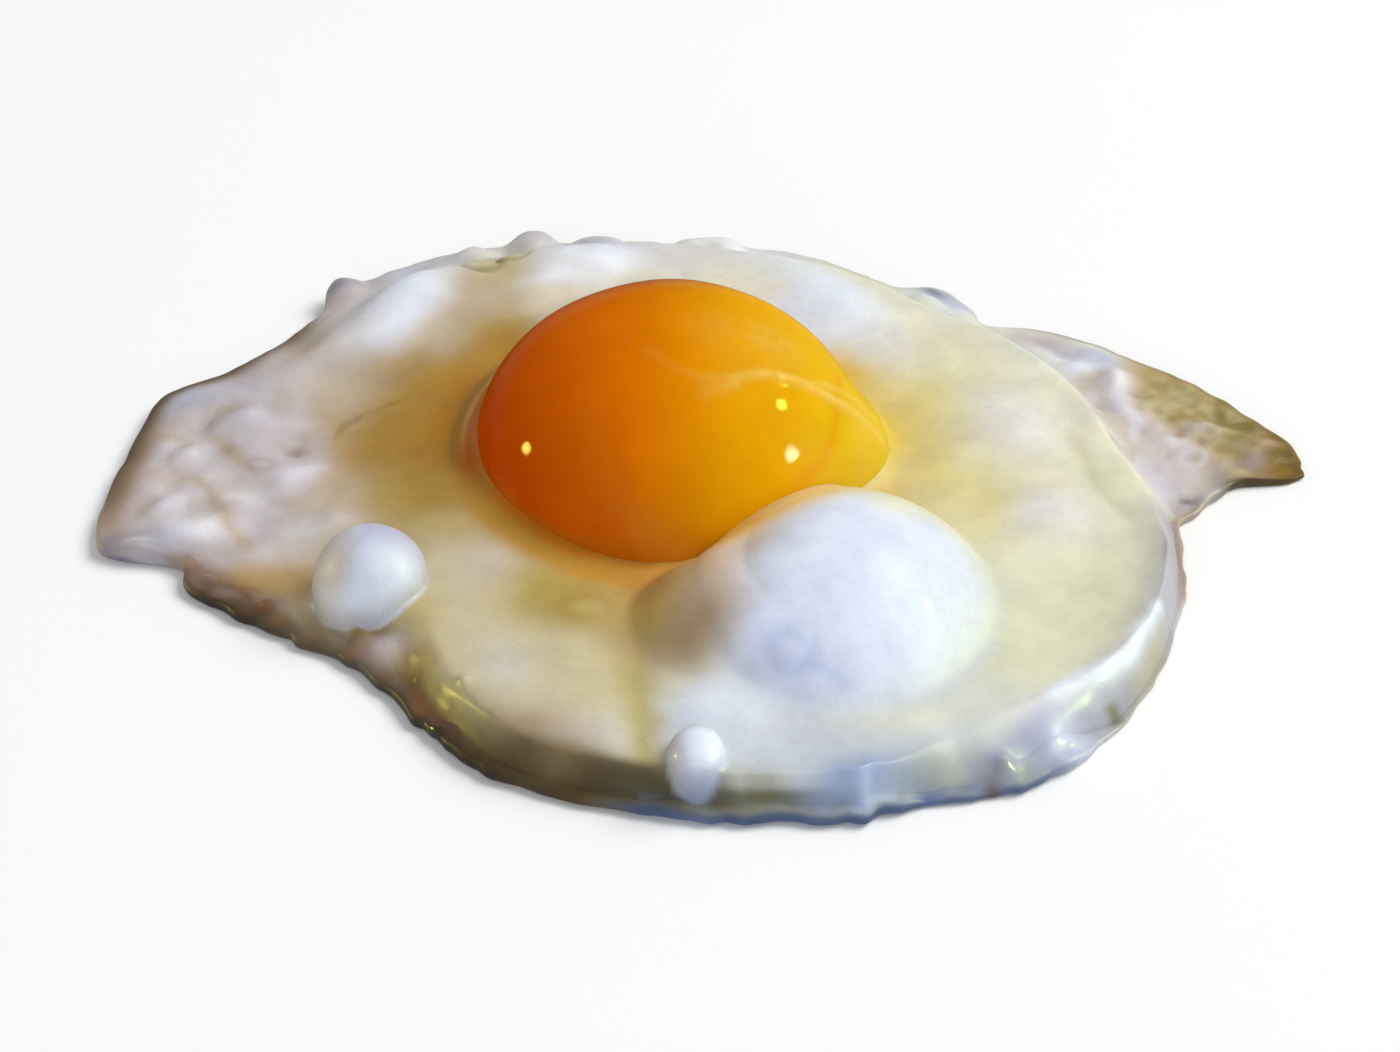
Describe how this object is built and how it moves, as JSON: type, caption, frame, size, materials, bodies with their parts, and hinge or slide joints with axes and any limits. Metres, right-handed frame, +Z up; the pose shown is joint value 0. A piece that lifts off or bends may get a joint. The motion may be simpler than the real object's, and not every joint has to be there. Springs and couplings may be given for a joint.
{
  "type": "fried egg",
  "caption": "Sunny-side-up fried egg: a low domed yolk with a side swell, seated in a glossy lipped white that has blown bubbles and a thin frilled apron drawn out to both sides",
  "frame": {"origin": "centre of the bounding box, on its underside, which is the plane that the egg lies on", "axes": "+X along the longest side, towards the pointed wing of the white; +Y away from the side with the great bubble; +Z up"},
  "size_m": [0.1346, 0.104, 0.02],
  "materials": {
    "set_white": "glossy set egg white, creamy to bluish white, brown to olive at its thin edges",
    "yolk_orange": "wet glossy orange yolk, yellower on one side under a thin film of white"
  },
  "bodies": {
    "root": {"egg_white": "set_white", "egg_yolk": "yolk_orange"}
  },
  "joints": []
}
